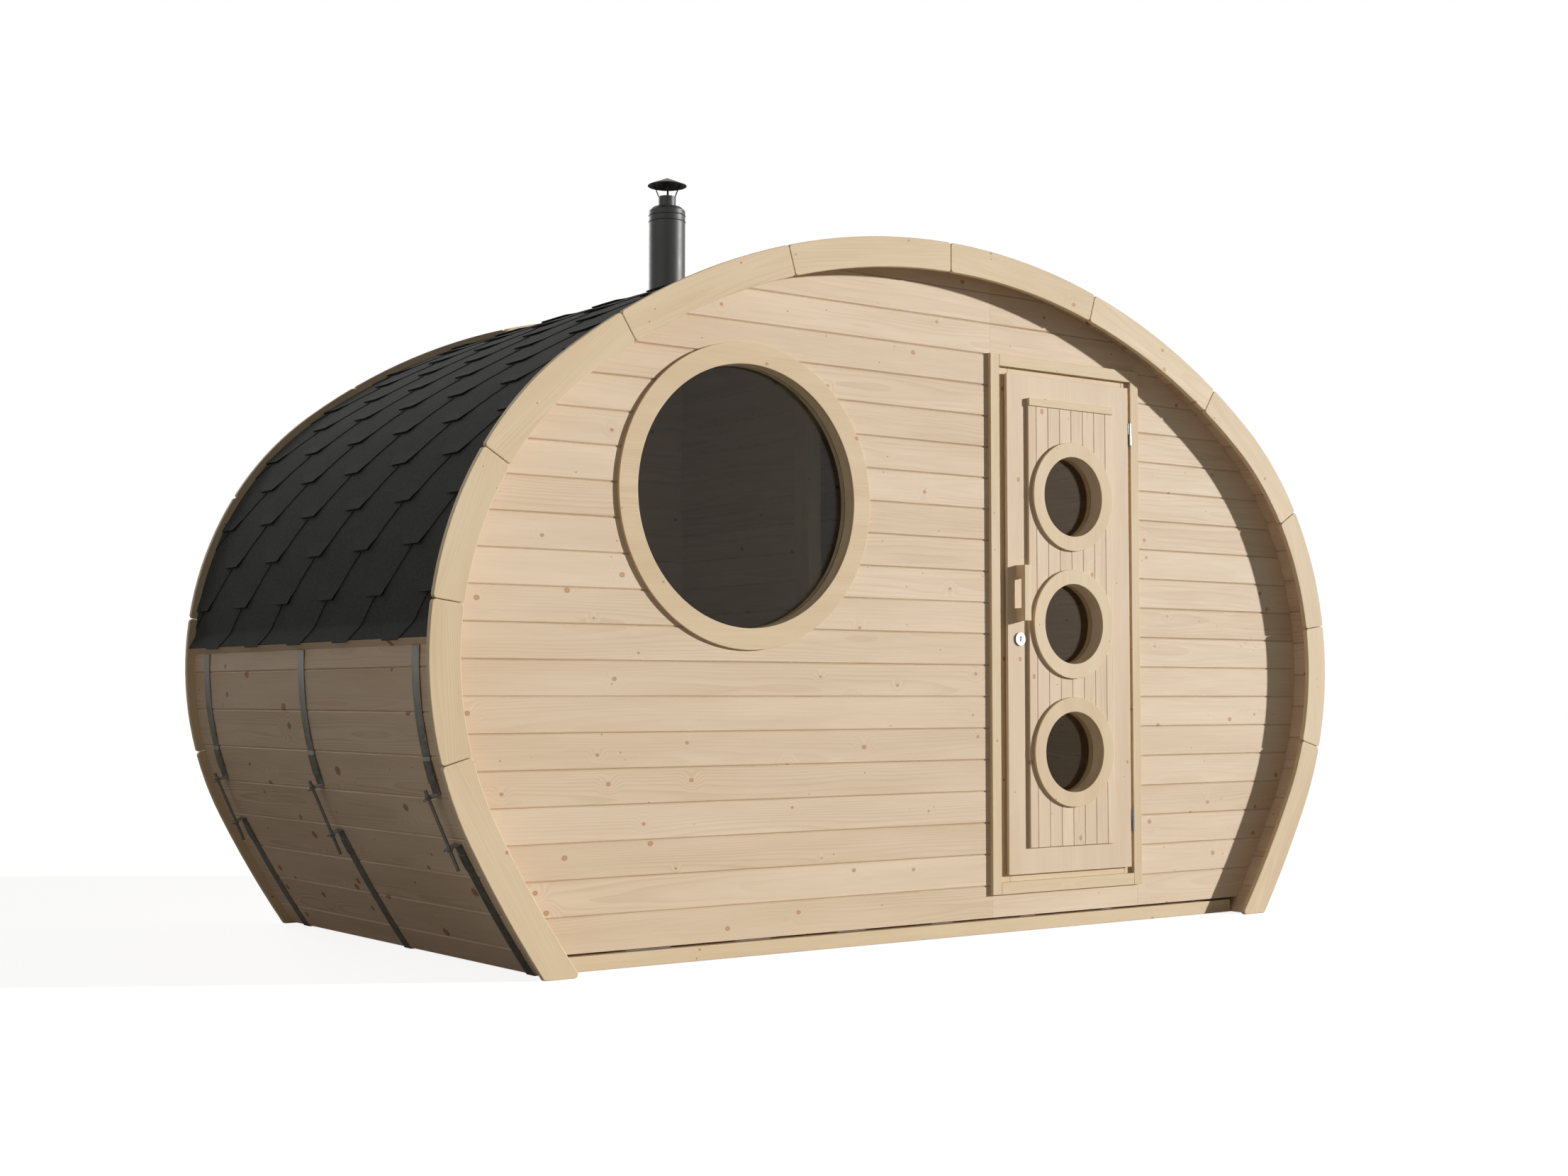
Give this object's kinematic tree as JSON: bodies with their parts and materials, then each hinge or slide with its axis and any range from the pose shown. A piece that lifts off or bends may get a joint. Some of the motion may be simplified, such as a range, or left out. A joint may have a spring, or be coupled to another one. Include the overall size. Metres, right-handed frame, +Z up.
{
  "type": "barrel sauna",
  "caption": "Wide oval barrel sauna with staved sides, shingled roof, round window, hinged porthole door, steel tension bands and a capped chimney.",
  "frame": {"origin": "centre of the footprint, on the ground under the ring feet", "axes": "+Z up, +X to the right along the front wall as seen from outside, front wall faces -Y"},
  "size_m": [3.9998, 1.946, 2.936],
  "materials": {
    "spruce_wall": "planed, unfinished",
    "spruce_trim": "planed, unfinished",
    "spruce_stave": "planed, unfinished",
    "spruce_floor": "planed, unfinished",
    "bitumen_shingle": "mineral-grit bitumen shingle",
    "galvanised_steel": "weathered zinc coat",
    "zinc_fastener": "zinc plated",
    "satin_steel": "satin",
    "black_steel": "heat-resistant black paint",
    "tinted_glass": "dark tinted",
    "clear_glass": "clear toughened"
  },
  "bodies": {
    "hut": {"chimney_flashing": "black_steel", "chimney_flue": "black_steel", "chimney_pipe": "black_steel", "door_casing": "spruce_trim", "door_frame": "spruce_trim", "eaves_battens": "spruce_trim", "floor_deck": "spruce_floor", "floor_joists": "spruce_floor", "floor_sills": "spruce_trim", "front_ring": "spruce_trim", "front_wall_left": "spruce_wall", "front_wall_over_door": "spruce_wall", "front_wall_right": "spruce_wall", "front_wall_under_door": "spruce_wall", "hinge_frame_halves": "satin_steel", "partition_post": "spruce_trim", "partition_wall": "spruce_wall", "rain_cap": "black_steel", "rear_ring": "spruce_trim", "rear_wall": "spruce_wall", "roof_covering": "bitumen_shingle", "staves_crown": "spruce_stave", "staves_left_shoulder": "spruce_stave", "staves_left_side": "spruce_stave", "staves_right_shoulder": "spruce_stave", "staves_right_side": "spruce_stave", "tension_bands_lower": "galvanised_steel", "tension_bands_upper": "galvanised_steel", "tension_brackets": "galvanised_steel", "tension_rods": "zinc_fastener", "window_glass": "tinted_glass", "window_lining": "spruce_trim", "window_trim_outside": "spruce_trim"},
    "door": {"door_handle": "spruce_trim", "door_handle_inside": "spruce_trim", "door_leaf": "spruce_wall", "door_lock": "satin_steel", "door_panel": "spruce_wall", "door_panel_lath": "spruce_trim", "hinge_leaf_halves": "satin_steel", "porthole_glass": "clear_glass", "porthole_rings_inside": "spruce_trim", "porthole_rings_outside": "spruce_trim"}
  },
  "joints": [
    {"name": "door_hinge", "type": "hinge", "parent": "hut", "child": "door", "pos_m": [0.965, -0.895, 0.206], "axis": [0, 0, 1], "range_deg": [0, 110]}
  ]
}
